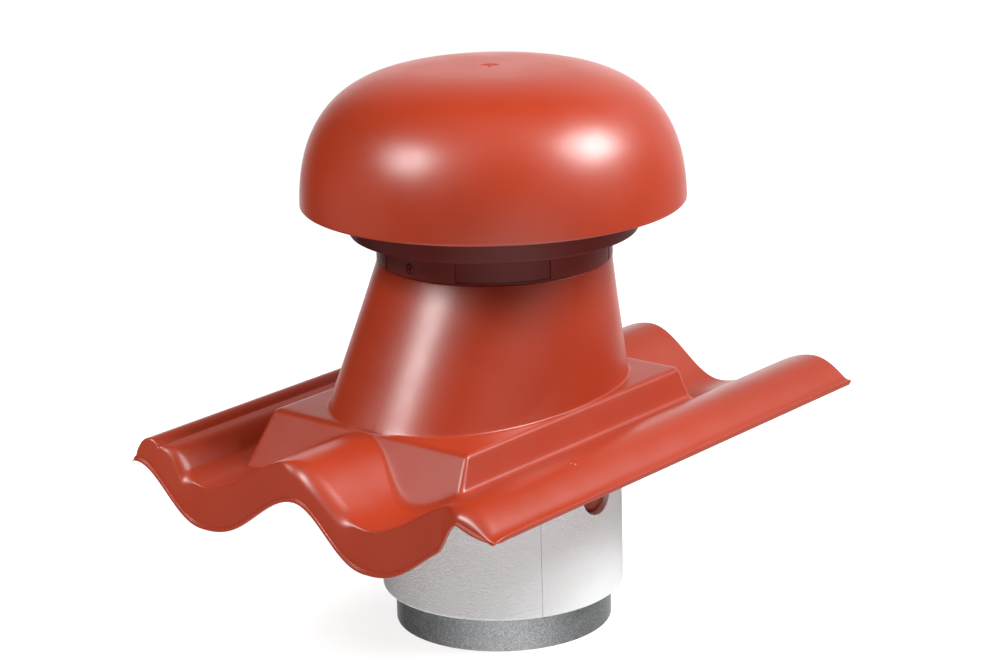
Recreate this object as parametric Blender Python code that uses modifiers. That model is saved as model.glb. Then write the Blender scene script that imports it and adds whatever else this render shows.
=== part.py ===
"""Roof vent cap: a moulded roof tile with a plinth and a tapered stack, a mushroom cap on a
collar, and the insulated metal duct that comes up through them. Metres, +Z up. The origin is
in the middle of the tile's outline, level with the duct's lower end."""

import math

import bmesh
import bpy
from mathutils import Matrix, Vector

# Driving dimensions of the tile
tile_width = 0.332
tile_length = 0.4175
moulding_wall = 0.003
trough_level = 0.1435
wave_height = 0.0344
wave_fall = 0.0644
wave_rise = 0.0868
first_crest_from_left = 0.1487
wave_steps = 32
right_lip_rise = 0.0207

# The side lock on the left edge, as distance in from the edge and height above a trough
lock_outline = (
    (0.0, 0.0122), (0.0019, 0.0140), (0.0029, 0.0190), (0.0058, 0.0240), (0.0105, 0.0265),
    (0.0148, 0.0265), (0.0188, 0.0246), (0.0215, 0.0223), (0.0253, 0.0220), (0.0298, 0.0214),
    (0.0338, 0.0188), (0.0383, 0.0135),
)
lock_run_out = 0.0050

# The front skirt, whose lower edge is a deeper wave, set a little to the right
skirt_depth = 0.0280
skirt_wave_height = 0.0378
skirt_shift = 0.0070
skirt_sharpness = 1.25
skirt_lean = math.radians(18.0)
skirt_least_drop = 0.0027
nose_radius = 0.0070
nose_least_radius = 0.0003
nose_share = 0.45
nose_steps = 3
lip_out = 0.0020
lip_out_share = 0.50
lip_height = 0.0030
lip_share = 0.25
inner_least_drop = 0.0007
roll_end_from_right = 0.0337
roll_end_blend = 0.0100
roll_end_rise = 0.0212
roll_end_fall = 0.0040

# Where the duct's axis stands in the tile
axis_from_left = 0.1493
axis_from_front = 0.2275

# The duct and its insulating sleeve
duct_radius = 0.0800
duct_wall = 0.0010
sleeve_wall = 0.0090
sleeve_foot = 0.0275
sleeve_seam_angle = math.radians(-32.2)
plug_angle = math.radians(1.2)
plug_hole_radius = 0.0165
plug_hole_drop = 0.0325
plug_radius = 0.0140
plug_side = 0.0030
plug_dome = 0.0030
plug_side_shift = 0.0010

# The plinth on the tile
plinth_height = 0.0369
plinth_clearance = 0.0086
plinth_front_room = 0.0535
plinth_back_room = 0.0123
plinth_side_draft = 0.352
plinth_front_draft = 0.773
plinth_back_draft = 0.240
plinth_edge_radius = 0.0040

# The tapered stack on the plinth
stack_overhang_side = 0.0005
stack_overhang_front = 0.0005
stack_overhang_back = 0.0024
stack_base_power = 2.31
stack_height = 0.0951
neck_clearance = 0.0015
ledge_width = 0.0043
ledge_thickness = 0.0032

# The collar on the stack
band_reveal = 0.0005
band_height = 0.0202
dish_step = 0.0191
dish_height = 0.0340
dish_edge = 0.0015
slot_width = 0.0018
slot_depth = 0.0012
panel_recess = 0.0008
panel_rim = 0.0010
panel_angle = math.radians(46.2)
panel_centre = math.radians(-46.3)
slot_angle = math.radians(68.4)
rivet_angle = math.radians(-94.8)
rivet_height = 0.0069
rivet_radius = 0.0036
rivet_hole_depth = 0.0016
rivet_edge_drop = 0.0004
rivet_dome = 0.0008
rivet_eye_radius = 0.0012
rivet_eye_depth = 0.0008

# The mushroom cap
cap_overhang = 0.0346
cap_lift = 0.0187
dome_start = 0.0043
dome_height = 0.1006
dome_side_power = 3.685
dome_rise_power = 2.33
post_count = 4
post_thickness = 0.0040
post_width = 0.0130
post_inset = 0.0030

# Gap between pieces that touch, and how far cutters reach past what they cut
seat_gap = 0.0003
past = 0.0020
ground_depth = 0.0200

# How finely round shapes are made
round_steps = 56
hole_steps = 24
rivet_steps = 16
panel_steps = 7
face_steps = 4
dome_steps = 12
dome_step_power = 1.3
bevel_steps = 2

# Derived places
left_edge = -tile_width / 2
right_edge = tile_width / 2
front_edge = -tile_length / 2
back_edge = tile_length / 2
axis_x = left_edge + axis_from_left
axis_y = front_edge + axis_from_front
first_crest = left_edge + first_crest_from_left
sleeve_bore = duct_radius + seat_gap
sleeve_radius = sleeve_bore + sleeve_wall
sleeve_top = trough_level
plug_hole_height = sleeve_top - plug_hole_drop
plinth_top = trough_level + plinth_height
plinth_front = sleeve_radius + plinth_front_room
plinth_back = sleeve_radius + plinth_back_room
plinth_side = (sleeve_radius + plinth_clearance + moulding_wall
               - plinth_side_draft * (plinth_top - sleeve_top))
stack_side = plinth_side + stack_overhang_side
stack_front = plinth_front + stack_overhang_front
stack_back = plinth_back + stack_overhang_back
stack_top = plinth_top + stack_height
stack_neck = duct_radius + seat_gap + neck_clearance + moulding_wall
ledge_bottom = stack_top - ledge_thickness
duct_top = ledge_bottom - seat_gap
band_radius = stack_neck + band_reveal
band_bottom = stack_top + seat_gap
band_top = band_bottom + band_height
dish_radius = band_radius + dish_step
dish_floor = band_top + moulding_wall
dish_top = band_top + dish_height
cap_radius = dish_radius + cap_overhang
cap_rim_level = dish_floor + cap_lift
dome_base_level = cap_rim_level - dome_start

plastic = ("terracotta_plastic", (0.42, 0.055, 0.030, 1.0), 0.28, 0.0)
collar_plastic = ("collar_plastic", (0.16, 0.035, 0.030, 1.0), 0.42, 0.0)
foam = ("white_foam", (0.86, 0.85, 0.84, 1.0), 0.85, 0.0)
steel = ("galvanised_steel", (0.50, 0.52, 0.53, 1.0), 0.45, 0.9)


def clear_scene():
    """Remove every object that the scene holds."""
    for item in list(bpy.data.objects):
        bpy.data.objects.remove(item, do_unlink=True)


def new_collection(name):
    collection = bpy.data.collections.new(name)
    bpy.context.scene.collection.children.link(collection)
    return collection


def material(look):
    """A Principled material from a name, colour, roughness and metallic value."""
    name, colour, roughness, metallic = look
    made = bpy.data.materials.get(name)
    if made is None:
        made = bpy.data.materials.new(name)
        made.use_nodes = True
        shader = made.node_tree.nodes["Principled BSDF"]
        shader.inputs["Base Color"].default_value = colour
        shader.inputs["Roughness"].default_value = roughness
        shader.inputs["Metallic"].default_value = metallic
    return made


def mesh_object(name, shape, collection):
    """An object in the collection from a bmesh, with its faces pointing out."""
    bmesh.ops.recalc_face_normals(shape, faces=shape.faces)
    mesh = bpy.data.meshes.new(name)
    shape.to_mesh(mesh)
    shape.free()
    mesh.shade_smooth()
    mesh.set_sharp_from_angle(angle=math.radians(30.0))
    made = bpy.data.objects.new(name, mesh)
    collection.objects.link(made)
    return made


def part(name, shape, look):
    made = mesh_object(name, shape, parts)
    made.data.materials.append(material(look))
    return made


def cutter(name, shape):
    made = mesh_object(name, shape, cutters)
    made.hide_render = True
    made.display_type = "WIRE"
    return made


def boolean(target, tool, operation):
    step = target.modifiers.new(operation.title() + " " + tool.name, "BOOLEAN")
    step.operation = operation
    step.solver = "EXACT"
    step.object = tool
    return step


def turn(made, steps):
    """Turn an object's profile, drawn in its XZ plane, once round its own Z axis."""
    screw = made.modifiers.new("Turn", "SCREW")
    screw.axis = "Z"
    screw.angle = 2 * math.pi
    screw.steps = steps
    screw.render_steps = steps
    screw.use_merge_vertices = True
    screw.merge_threshold = 0.0001
    screw.use_smooth_shade = True
    return made


def profile(points, closed):
    """A bmesh of edges through radius and height points."""
    shape = bmesh.new()
    corners = [shape.verts.new((radius, 0.0, height)) for radius, height in points]
    for first, second in zip(corners, corners[1:]):
        shape.edges.new((first, second))
    if closed:
        shape.edges.new((corners[-1], corners[0]))
    return shape


def block(low, high):
    """A box from its lowest to its highest corner."""
    shape = bmesh.new()
    size = [top - bottom for bottom, top in zip(low, high)]
    middle = [(top + bottom) / 2 for bottom, top in zip(low, high)]
    bmesh.ops.create_cube(shape, size=1.0,
                          matrix=Matrix.Translation(middle) @ Matrix.Diagonal((*size, 1.0)))
    return shape


def rod(radius, low, high, steps):
    """An upright closed cylinder round the Z axis."""
    shape = bmesh.new()
    place = Matrix.Translation((0.0, 0.0, (low + high) / 2))
    bmesh.ops.create_cone(shape, cap_ends=True, segments=steps, radius1=radius, radius2=radius,
                          depth=high - low, matrix=place)
    return shape


def domed(radius, side, rise, start):
    """Profile points of a domed face, from a start radius out, on an upright side."""
    first = math.asin(start / radius)
    points = []
    for step in range(face_steps + 1):
        turned = first + (math.pi / 2 - first) * step / face_steps
        points.append((radius * math.sin(turned), side + rise * math.cos(turned)))
    return points + [(radius, 0.0), (0.0, 0.0)]


def ring_sector(inner, outer, low, high, start, angle, steps):
    """A closed piece of a ring, from its start angle on round the Z axis."""
    shape = bmesh.new()
    outline = ((inner, low), (outer, low), (outer, high), (inner, high))
    corners = [shape.verts.new((radius, 0.0, height)) for radius, height in outline]
    shape.faces.new(corners)
    bmesh.ops.rotate(shape, verts=shape.verts[:], matrix=Matrix.Rotation(start, 3, "Z"))
    bmesh.ops.spin(shape, geom=shape.verts[:] + shape.edges[:] + shape.faces[:],
                   axis=(0.0, 0.0, 1.0), cent=(0.0, 0.0, 0.0), angle=angle, steps=steps)
    return shape


def loft_rings(rings):
    """A closed solid through rings of as many points each, capped at both ends."""
    shape = bmesh.new()
    rows = [[shape.verts.new(point) for point in ring] for ring in rings]
    count = len(rows[0])
    for lower, upper in zip(rows, rows[1:]):
        for step in range(count):
            after = (step + 1) % count
            shape.faces.new((lower[step], lower[after], upper[after], upper[step]))
    shape.faces.new(rows[0])
    shape.faces.new(rows[-1])
    return shape


def on_axis(made):
    made.location.x = axis_x
    made.location.y = axis_y
    return made


def round_axis(made, angle):
    """Stand an object on the duct's axis, turned to face an angle."""
    made.rotation_euler.z = angle
    return on_axis(made)


# The tile

def wave(x, shift, sharpness):
    """The share of the wave's height at x: one on a crest and nothing in a trough."""
    along = (x - first_crest - shift) % (wave_fall + wave_rise)
    if along < wave_fall:
        turned = math.pi * along / wave_fall
    else:
        turned = math.pi * (1.0 + (along - wave_fall) / wave_rise)
    return (0.5 + 0.5 * math.cos(turned)) ** sharpness


def tile_section():
    """The tile's upper surface across its width, as x and height."""
    points = [(left_edge + inward, trough_level + height) for inward, height in lock_outline]
    start = left_edge + lock_outline[-1][0] + lock_run_out
    for step in range(wave_steps + 1):
        x = start + (right_edge - start) * step / wave_steps
        rise = wave_height * wave(x, 0.0, 1.0)
        if x > right_edge - roll_end_from_right:
            rise = max(rise, right_lip_rise)
        points.append((x, trough_level + rise))
    return points


def below(points, depth):
    """A section moved into the material by a depth, square to the surface."""
    moved = []
    for index, (x, height) in enumerate(points):
        before = points[max(index - 1, 0)]
        after = points[min(index + 1, len(points) - 1)]
        run = after[0] - before[0]
        rise = after[1] - before[1]
        length = math.hypot(run, rise)
        moved.append((x + depth * rise / length, height - depth * run / length))
    return moved


def skirt_edge(x, height):
    """The height of the skirt's lower edge below a point of the tile."""
    edge = (trough_level - skirt_depth
            + skirt_wave_height * wave(x, skirt_shift, skirt_sharpness))
    roll_start = right_edge - roll_end_from_right
    share = min(max((x - roll_start + roll_end_blend) / roll_end_blend, 0.0), 1.0)
    along = max((x - roll_start) / roll_end_from_right, 0.0)
    roll_edge = trough_level + roll_end_rise - roll_end_fall * along
    edge += (roll_edge - edge) * share * share * (3.0 - 2.0 * share)
    return min(edge, height - skirt_least_drop)


def run_to_skirt(x, height, edge, inset):
    """Points from the tile's back edge over its nose and down the skirt, at one x."""
    drop = height - edge
    radius = max(min(nose_radius, nose_share * drop) - inset, nose_least_radius)
    lip = min(lip_height, lip_share * drop)
    out = min(lip_out, lip_out_share * drop)
    foot_y = front_edge + inset + out
    fall = drop - radius * (1.0 - math.sin(skirt_lean)) - lip
    centre_y = foot_y + fall * math.tan(skirt_lean) + radius * math.cos(skirt_lean)
    points = [(x, back_edge, height), (x, axis_y, height)]
    for step in range(nose_steps + 1):
        turned = (math.pi / 2 - skirt_lean) * step / nose_steps
        points.append((x, centre_y - radius * math.sin(turned),
                       height - radius * (1.0 - math.cos(turned))))
    points.append((x, foot_y, edge + lip))
    points.append((x, front_edge + inset, edge))
    return points


def tile_sheet():
    """The wavy sheet with its rounded nose and front skirt, as one closed shell."""
    section = tile_section()
    under = below(section, moulding_wall)
    shape = bmesh.new()
    outside = []
    inside = []
    for (x, height), (inner_x, inner_height) in zip(section, under):
        edge = skirt_edge(x, height)
        inner_edge = min(edge, inner_height - inner_least_drop)
        outer_run = run_to_skirt(x, height, edge, 0.0)
        inner_run = run_to_skirt(inner_x, inner_height, inner_edge, moulding_wall)
        outside.append([shape.verts.new(point) for point in outer_run])
        inside.append([shape.verts.new(point) for point in inner_run])
    count = len(outside[0])
    for side in (outside, inside):
        for left, right in zip(side, side[1:]):
            for step in range(count - 1):
                shape.faces.new((left[step], left[step + 1], right[step + 1], right[step]))
    for place in range(len(outside) - 1):
        for end in (0, -1):
            shape.faces.new((outside[place][end], outside[place + 1][end],
                             inside[place + 1][end], inside[place][end]))
    for place in (0, -1):
        for step in range(count - 1):
            shape.faces.new((outside[place][step], outside[place][step + 1],
                             inside[place][step + 1], inside[place][step]))
    return shape


def under_tile():
    """Everything below the middle of the tile's sheet."""
    middle = below(tile_section(), moulding_wall / 2)
    floor = trough_level - ground_depth
    outline = middle + [(middle[-1][0], floor), (middle[0][0], floor)]
    ends = (front_edge - past, back_edge + past)
    return loft_rings([[(x, y, height) for x, height in outline] for y in ends])


def drafted_box(inset, bottom):
    """The plinth's outline, moved in by an inset, from its top down to a level."""
    top = plinth_top - inset
    shape = block((-1.0, -1.0, bottom), (1.0, 1.0, top))
    for corner in shape.verts:
        down = plinth_top - corner.co.z
        side = plinth_side - inset + plinth_side_draft * down
        front = plinth_front - inset + plinth_front_draft * down
        back = plinth_back - inset + plinth_back_draft * down
        corner.co.x = axis_x + math.copysign(side, corner.co.x)
        corner.co.y = axis_y + (back if corner.co.y > 0 else -front)
    return shape


def bevelled(made, width):
    edges = made.modifiers.new("Bevel", "BEVEL")
    edges.width = width
    edges.segments = bevel_steps
    edges.limit_method = "ANGLE"
    edges.angle_limit = math.radians(30.0)
    return made


def stack_ring(height, inset):
    """The stack's outline at a height: an oval up to the plinth's top, then turning round."""
    share = max((height - plinth_top) / (stack_top - plinth_top), 0.0)
    side = stack_side + (stack_neck - stack_side) * share - inset
    front = stack_front + (stack_neck - stack_front) * share - inset
    back = stack_back + (stack_neck - stack_back) * share - inset
    power = 2.0 / (stack_base_power + (2.0 - stack_base_power) * share)
    ring = []
    for step in range(round_steps):
        angle = 2 * math.pi * step / round_steps
        across = math.copysign(abs(math.cos(angle)) ** power, math.cos(angle))
        along = math.copysign(abs(math.sin(angle)) ** power, math.sin(angle))
        ring.append((axis_x + side * across,
                     axis_y + (back - front) / 2 + (back + front) / 2 * along, height))
    return ring


def make_tile_base():
    """The tile, its plinth and its stack, moulded in one hollow piece."""
    foot = trough_level - moulding_wall - past
    stack_foot = trough_level + past
    base = part("tile_base", tile_sheet(), plastic)
    shell = bevelled(cutter("plinth_outside", drafted_box(0.0, foot)), plinth_edge_radius)
    stack = cutter("stack_outside", loft_rings([
        stack_ring(height, 0.0) for height in (stack_foot, plinth_top, stack_top)]))
    hollow = cutter("plinth_inside", drafted_box(moulding_wall, foot - past))
    stack_hollow = cutter("stack_inside", loft_rings([
        stack_ring(height, moulding_wall)
        for height in (stack_foot - past, plinth_top, ledge_bottom)]))
    bore = on_axis(cutter("stack_bore", rod(stack_neck - moulding_wall - ledge_width,
                                            plinth_top, stack_top + past, round_steps)))
    ground = cutter("under_tile", under_tile())
    boolean(shell, stack, "UNION")
    boolean(shell, hollow, "DIFFERENCE")
    boolean(shell, stack_hollow, "DIFFERENCE")
    boolean(shell, bore, "DIFFERENCE")
    boolean(shell, ground, "DIFFERENCE")
    boolean(base, hollow, "DIFFERENCE")
    boolean(base, stack_hollow, "DIFFERENCE")
    boolean(base, shell, "UNION")


# The duct and its sleeve

def make_duct():
    points = ((duct_radius, duct_top), (duct_radius, 0.0),
              (duct_radius - duct_wall, 0.0), (duct_radius - duct_wall, duct_top))
    on_axis(turn(part("duct", profile(points, True), steel), round_steps))


def make_sleeve():
    """Two half shells of foam, which meet at seams, with a round hole in the right one."""
    seam = seat_gap / sleeve_radius
    for name, start in (("sleeve_right", sleeve_seam_angle),
                        ("sleeve_left", sleeve_seam_angle + math.pi)):
        shape = ring_sector(sleeve_bore, sleeve_radius, sleeve_foot, sleeve_top,
                            start + seam / 2, math.pi - seam, round_steps // 2)
        half = on_axis(part(name, shape, foam))
        if name == "sleeve_right":
            boolean(half, radial_rod("plug_hole", plug_hole_radius, plug_angle,
                                     plug_hole_height, sleeve_bore - past,
                                     sleeve_radius + past, hole_steps), "DIFFERENCE")


def radial_rod(name, radius, angle, height, near, far, steps):
    """A cutting cylinder that points away from the duct's axis."""
    tool = cutter(name, rod(radius, near, far, steps))
    tool.rotation_euler = (0.0, math.pi / 2, angle)
    on_axis(tool)
    tool.location.z = height
    return tool


def make_plug():
    """A domed plug that rests in the bottom of the sleeve's hole, against the duct."""
    shape = profile(domed(plug_radius, plug_side, plug_dome, 0.0), False)
    plug = turn(part("sleeve_plug", shape, plastic), hole_steps)
    plug.rotation_euler = (0.0, math.pi / 2, plug_angle)
    out = Vector((math.cos(plug_angle), math.sin(plug_angle)))
    place = sleeve_bore * out + plug_side_shift * out.orthogonal()
    plug.location = (axis_x + place.x, axis_y + place.y,
                     plug_hole_height - plug_hole_radius + plug_radius + 2 * seat_gap)


# The collar

def make_collar():
    """The band that stands on the stack, with the dish that it widens into."""
    inner = band_radius - moulding_wall
    points = ((dish_radius, dish_top), (dish_radius, band_top + dish_edge),
              (dish_radius - dish_edge, band_top), (band_radius, band_top),
              (band_radius, band_bottom), (inner, band_bottom), (inner, dish_floor),
              (dish_radius - moulding_wall, dish_floor), (dish_radius - moulding_wall, dish_top))
    collar = on_axis(turn(part("collar", profile(points, True), collar_plastic), round_steps))
    for side, turned in enumerate((0.0, math.pi)):
        panel = ring_sector(band_radius - panel_recess, band_radius + past, band_bottom - past,
                            band_top - panel_rim, -panel_angle / 2, panel_angle, panel_steps)
        tool = round_axis(cutter(f"panel_{side + 1}", panel), panel_centre + turned)
        boolean(collar, tool, "DIFFERENCE")
        for edge in (-1, 1):
            slot = block((band_radius - slot_depth, -slot_width / 2, band_bottom - past),
                         (band_radius + past, slot_width / 2, band_top - panel_rim))
            tool = round_axis(cutter(f"slot_{side + 1}_{edge}", slot),
                              panel_centre + turned + edge * slot_angle)
            boolean(collar, tool, "DIFFERENCE")
        hole = radial_rod(f"rivet_hole_{side + 1}", rivet_radius + seat_gap, rivet_angle + turned,
                          band_bottom + rivet_height, band_radius - rivet_hole_depth,
                          band_radius + past, rivet_steps)
        boolean(collar, hole, "DIFFERENCE")


def make_rivets():
    """Domed rivets in the band, each with a small eye in its middle."""
    depth = rivet_hole_depth - seat_gap
    eye = [(0.0, depth - rivet_eye_depth), (rivet_eye_radius, depth - rivet_eye_depth)]
    points = eye + domed(rivet_radius, depth - rivet_edge_drop, rivet_dome, rivet_eye_radius)
    near = band_radius - rivet_hole_depth + seat_gap
    for side, turned in enumerate((0.0, math.pi)):
        angle = rivet_angle + turned
        shape = profile(points, False)
        rivet = turn(part(f"collar_rivet_{side + 1}", shape, collar_plastic), rivet_steps)
        rivet.rotation_euler = (0.0, math.pi / 2, angle)
        rivet.location = (axis_x + near * math.cos(angle), axis_y + near * math.sin(angle),
                          band_bottom + rivet_height)


# The cap

def dome_points(inset, bottom):
    """The dome's profile from its top down to a level, moved in by an inset."""
    width = cap_radius - inset
    height = dome_height - inset
    last = (bottom - dome_base_level) / height
    end = math.asin(max(last, 0.0))
    points = []
    for step in range(dome_steps + 1):
        share = step / dome_steps
        rise = math.sin(math.pi / 2 + (end - math.pi / 2) * share ** dome_step_power)
        radius = width * max(1.0 - rise ** dome_rise_power, 0.0) ** (1.0 / dome_side_power)
        points.append((radius, dome_base_level + height * rise))
    points[0] = (0.0, dome_base_level + height)
    return points


def make_cap():
    """The hollow dome, carried by posts that stand in the collar's dish."""
    outer = dome_points(0.0, cap_rim_level)
    inner = dome_points(moulding_wall, cap_rim_level)
    cap = on_axis(turn(part("cap", profile(outer + inner[::-1], False), plastic), round_steps))
    core = dome_points(moulding_wall / 2, cap_rim_level)
    foot = dish_floor + seat_gap
    core += [(core[-1][0], foot - past), (0.0, foot - past)]
    envelope = on_axis(turn(cutter("dome_envelope", profile(core, False)), round_steps))
    outside = dish_radius - moulding_wall - post_inset
    for place in range(post_count):
        shape = block((outside - post_width, -post_thickness / 2, foot),
                      (outside, post_thickness / 2, dome_base_level + dome_height))
        angle = 2 * math.pi * (place + 0.5) / post_count
        post = round_axis(cutter(f"post_{place + 1}", shape), angle)
        boolean(post, envelope, "INTERSECT")
        boolean(cap, post, "UNION")


clear_scene()
parts = new_collection("roof_vent_cap")
cutters = new_collection("cutters")
make_duct()
make_sleeve()
make_plug()
make_tile_base()
make_collar()
make_rivets()
make_cap()
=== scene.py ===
"""The looks of a roof vent cap: a moulded roof tile with a tapered stack, a mushroom cap on a
collar and an insulated metal duct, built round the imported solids. Metres, +Z up."""

import math

import bmesh
import bpy
import numpy as np
from mathutils import Matrix, Vector, noise


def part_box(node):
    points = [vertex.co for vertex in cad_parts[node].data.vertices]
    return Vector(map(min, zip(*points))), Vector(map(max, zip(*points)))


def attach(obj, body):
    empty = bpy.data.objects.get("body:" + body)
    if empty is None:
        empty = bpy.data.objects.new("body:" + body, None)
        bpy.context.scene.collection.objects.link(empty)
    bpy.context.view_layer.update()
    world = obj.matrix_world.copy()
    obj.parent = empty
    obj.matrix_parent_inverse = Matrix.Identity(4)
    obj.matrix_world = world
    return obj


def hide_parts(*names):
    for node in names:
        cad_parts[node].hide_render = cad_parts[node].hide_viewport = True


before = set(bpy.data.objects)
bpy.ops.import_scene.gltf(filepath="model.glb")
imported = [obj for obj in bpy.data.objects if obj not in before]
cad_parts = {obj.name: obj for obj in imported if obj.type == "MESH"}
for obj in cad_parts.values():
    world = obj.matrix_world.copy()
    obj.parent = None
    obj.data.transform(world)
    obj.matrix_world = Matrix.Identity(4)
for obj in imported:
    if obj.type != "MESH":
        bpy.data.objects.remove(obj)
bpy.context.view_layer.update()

# Sizes that the solids give
duct_low, duct_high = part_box("duct")
tile_low, tile_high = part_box("tile_base")
collar_low, collar_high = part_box("collar")
cap_low, cap_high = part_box("cap")
sleeve_low, sleeve_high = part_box("sleeve_left")
axis_x = (duct_low.x + duct_high.x) / 2
axis_y = (duct_low.y + duct_high.y) / 2
duct_radius = (duct_high.x - duct_low.x) / 2
left_edge, right_edge = tile_low.x, tile_high.x
front_edge, back_edge = tile_low.y, tile_high.y
stack_top = tile_high.z
dish_radius = (collar_high.x - collar_low.x) / 2
dish_top = collar_high.z
band_bottom = collar_low.z
cap_radius = (cap_high.x - cap_low.x) / 2
cap_top = cap_high.z

# The tile's sheet, as in the solids
moulding_wall = 0.003
trough_level = 0.1435
wave_height = 0.0344
wave_fall = 0.0644
wave_rise = 0.0868
first_crest = left_edge + 0.1487
right_lip_rise = 0.0207
right_lip_blend = 0.0007
lock_width = 0.0433
lock_outline = (
    (0.0, 0.0122), (0.0011, 0.0127), (0.0020, 0.0143), (0.0029, 0.0188), (0.0055, 0.0236),
    (0.0085, 0.0258), (0.0118, 0.0267), (0.0148, 0.0264), (0.0175, 0.0250), (0.0194, 0.0231),
    (0.0203, 0.0221), (0.0208, 0.0218), (0.0213, 0.0221), (0.0219, 0.0225), (0.0226, 0.0226),
    (0.0255, 0.0222), (0.0298, 0.0213), (0.0338, 0.0188), (0.0383, 0.0135),
)
edge_round = 0.0007
thin_wall = 0.0013
right_wall = 0.0042
right_wall_width = 0.0030
right_undercut = 0.0018
mark_x, mark_y = 0.1372, -0.0899

# The front skirt
skirt_depth = 0.0280
skirt_wave_height = 0.0378
skirt_shift = 0.0070
skirt_sharpness = 1.25
skirt_lean = math.radians(18.0)
skirt_least_drop = 0.0027
nose_crisp = 0.0018
nose_broad = 0.0140
nose_lock = 0.0022
nose_share = 1.1
lock_crest_end = left_edge + 0.0215
lock_crest_blend = 0.0040
nose_lead = 0.0100
lip_out = 0.0015
lip_height = 0.0034
roll_end_from_right = 0.0322
roll_end_blend = 0.0170
roll_end_rise = 0.0242
roll_end_fall = 0.0064
roll_end_power = 2.4

# The plinth and the stack
plinth_top = trough_level + 0.0369
plinth_left, plinth_right = 0.0890, 0.0905
plinth_front, plinth_back = 0.1430, 0.1020
plinth_left_draft, plinth_right_draft = 0.170, 0.335
plinth_front_draft, plinth_back_draft = 0.773, 0.240
plinth_corner_radius = 0.0018
plinth_corner_growth = 0.075
plinth_back_corner = 0.0040
plinth_edge_radius = 0.0028
plinth_foot_fillet = 0.0016
plinth_right_fillet = 0.0060
stack_side = 0.0884
stack_front = 0.1433
stack_back = 0.1040
stack_neck = 0.0848
stack_base_power = 2.31
stack_fillet = 0.0013
stack_edge_radius = 0.0008
stack_bore = stack_neck - moulding_wall - 0.0043

# The collar
band_radius = 0.0853
band_height = 0.0202
band_top = band_bottom + band_height
slot_width = 0.0018
slot_depth = 0.0012
panel_recess = 0.0008
panel_rim = 0.0010
panel_angle = math.radians(46.2)
panel_centre = math.radians(-46.3)
slot_angle = math.radians(68.4)
rivet_angle = math.radians(-94.8)
rivet_level = band_bottom + 0.0069
rivet_radius = 0.0036
rivet_hole_depth = 0.0016
seat_gap = 0.0003

# The cap
dish_floor = band_top + moulding_wall
cap_rim_level = dish_floor + 0.0187
dome_base_level = cap_rim_level - 0.0043
dome_side_power = 3.685
dome_rise_power = 2.33
post_count = 4
post_thickness = 0.0040
post_width = 0.0130
post_inset = 0.0030
gate_radius = 0.0070
gate_depth = 0.0006

# The sleeve and its plug
sleeve_bore = duct_radius + seat_gap
sleeve_radius = sleeve_bore + 0.0090
sleeve_foot, sleeve_top = sleeve_low.z, sleeve_high.z
sleeve_seam_angle = math.radians(-32.2)
plug_angle = math.radians(1.2)
plug_hole_radius = 0.0165
plug_hole_level = sleeve_top - 0.0325
plug_radius = 0.0140


# Mesh helpers

def mesh_piece(name, verts, faces, sharp=math.radians(38.0)):
    """A shown piece of the object, smooth apart from its sharp edges."""
    mesh = bpy.data.meshes.new(name)
    mesh.from_pydata([tuple(v) for v in verts], [], [tuple(f) for f in faces])
    mesh.update()
    piece = bpy.data.objects.new(name, mesh)
    bpy.context.scene.collection.objects.link(piece)
    tidy = bmesh.new()
    tidy.from_mesh(mesh)
    bmesh.ops.remove_doubles(tidy, verts=tidy.verts, dist=0.000002)
    bmesh.ops.recalc_face_normals(tidy, faces=tidy.faces)
    tidy.to_mesh(mesh)
    tidy.free()
    mesh.shade_smooth()
    mesh.set_sharp_from_angle(angle=sharp)
    return piece


def revolved(points, steps):
    """Vertices and faces of a closed profile of radius and height turned round the axis."""
    verts, faces = [], []
    count = len(points)
    for step in range(steps):
        turned = 2 * math.pi * step / steps
        for radius, height in points:
            verts.append((axis_x + radius * math.cos(turned),
                          axis_y + radius * math.sin(turned), height))
    for step in range(steps):
        here, after = step * count, (step + 1) % steps * count
        for place in range(count):
            follow = (place + 1) % count
            faces.append((here + place, after + place, after + follow, here + follow))
    return verts, faces


def rounded(corners, radius, steps=4):
    """A closed outline with every corner rounded, or by its own third value."""
    points = []
    count = len(corners)
    for place, corner in enumerate(corners):
        before = Vector(corners[place - 1][:2])
        here = Vector(corner[:2])
        after = Vector(corners[(place + 1) % count][:2])
        bend = corner[2] if len(corner) > 2 else radius
        to_before, to_after = before - here, after - here
        bend = min(bend, 0.45 * to_before.length, 0.45 * to_after.length)
        if bend <= 0:
            points.append(tuple(here))
            continue
        start = here + to_before.normalized() * bend
        end = here + to_after.normalized() * bend
        for step in range(steps + 1):
            share = step / steps
            point = start * (1 - share) ** 2 + here * 2 * share * (1 - share) + end * share ** 2
            points.append(tuple(point))
    return points


def smooth_path(points, per_span):
    """Points of a smooth curve through a path's points."""
    path = [points[0]] + list(points) + [points[-1]]
    made = []
    for before, start, end, after in zip(path, path[1:], path[2:], path[3:]):
        for step in range(per_span):
            t = step / per_span
            made.append([0.5 * (2 * b + (c - a) * t + (2 * a - 5 * b + 4 * c - d) * t ** 2
                                + (3 * b - a - 3 * c + d) * t ** 3)
                         for a, b, c, d in zip(before, start, end, after)])
    made.append(list(points[-1]))
    return np.array(made)


def apply_modifiers(piece, sharp=math.radians(38.0)):
    """Make a piece's modifiers part of its mesh and delete the cutters they used."""
    graph = bpy.context.evaluated_depsgraph_get()
    mesh = bpy.data.meshes.new_from_object(piece.evaluated_get(graph))
    tools = [step.object for step in piece.modifiers if step.type == "BOOLEAN"]
    piece.modifiers.clear()
    piece.data = mesh
    mesh.shade_smooth()
    mesh.set_sharp_from_angle(angle=sharp)
    for tool in tools:
        bpy.data.objects.remove(tool, do_unlink=True)
    return piece


def cut(piece, tool):
    step = piece.modifiers.new("Cut " + tool.name, "BOOLEAN")
    step.operation = "DIFFERENCE"
    step.solver = "EXACT"
    step.object = tool
    tool.hide_render = True


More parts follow.
